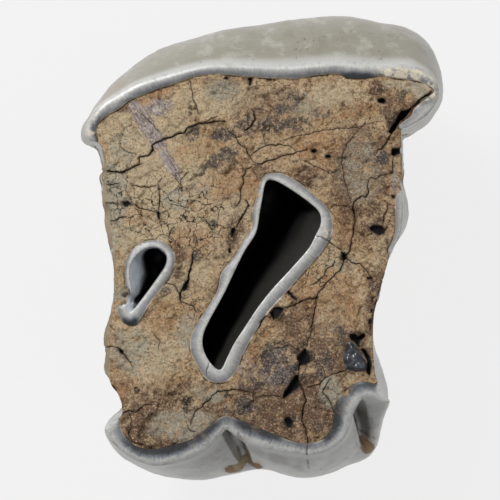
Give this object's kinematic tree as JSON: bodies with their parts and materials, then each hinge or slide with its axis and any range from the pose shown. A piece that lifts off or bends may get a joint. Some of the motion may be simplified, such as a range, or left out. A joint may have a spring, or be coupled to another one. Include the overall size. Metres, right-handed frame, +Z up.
{
  "type": "fossil woolly rhino molar",
  "caption": "Worn upper cheek tooth with a thick smooth enamel wall on one side, a lobed wall on the other, cracked dentine between, an oblique enamel-ringed pit and broken root stubs.",
  "frame": {"origin": "on the ground under the middle of the tooth, in the plane of the broken root ends", "axes": "+Z up out of the chewing face, +Y towards the long smooth cheek wall, +X towards the end with the enamel hook"},
  "size_m": [0.058, 0.074, 0.044],
  "materials": {
    "fossil_tooth": "polished grey enamel walls around matt cracked ochre dentine"
  },
  "bodies": {
    "root": {"molar": "fossil_tooth"}
  },
  "joints": []
}
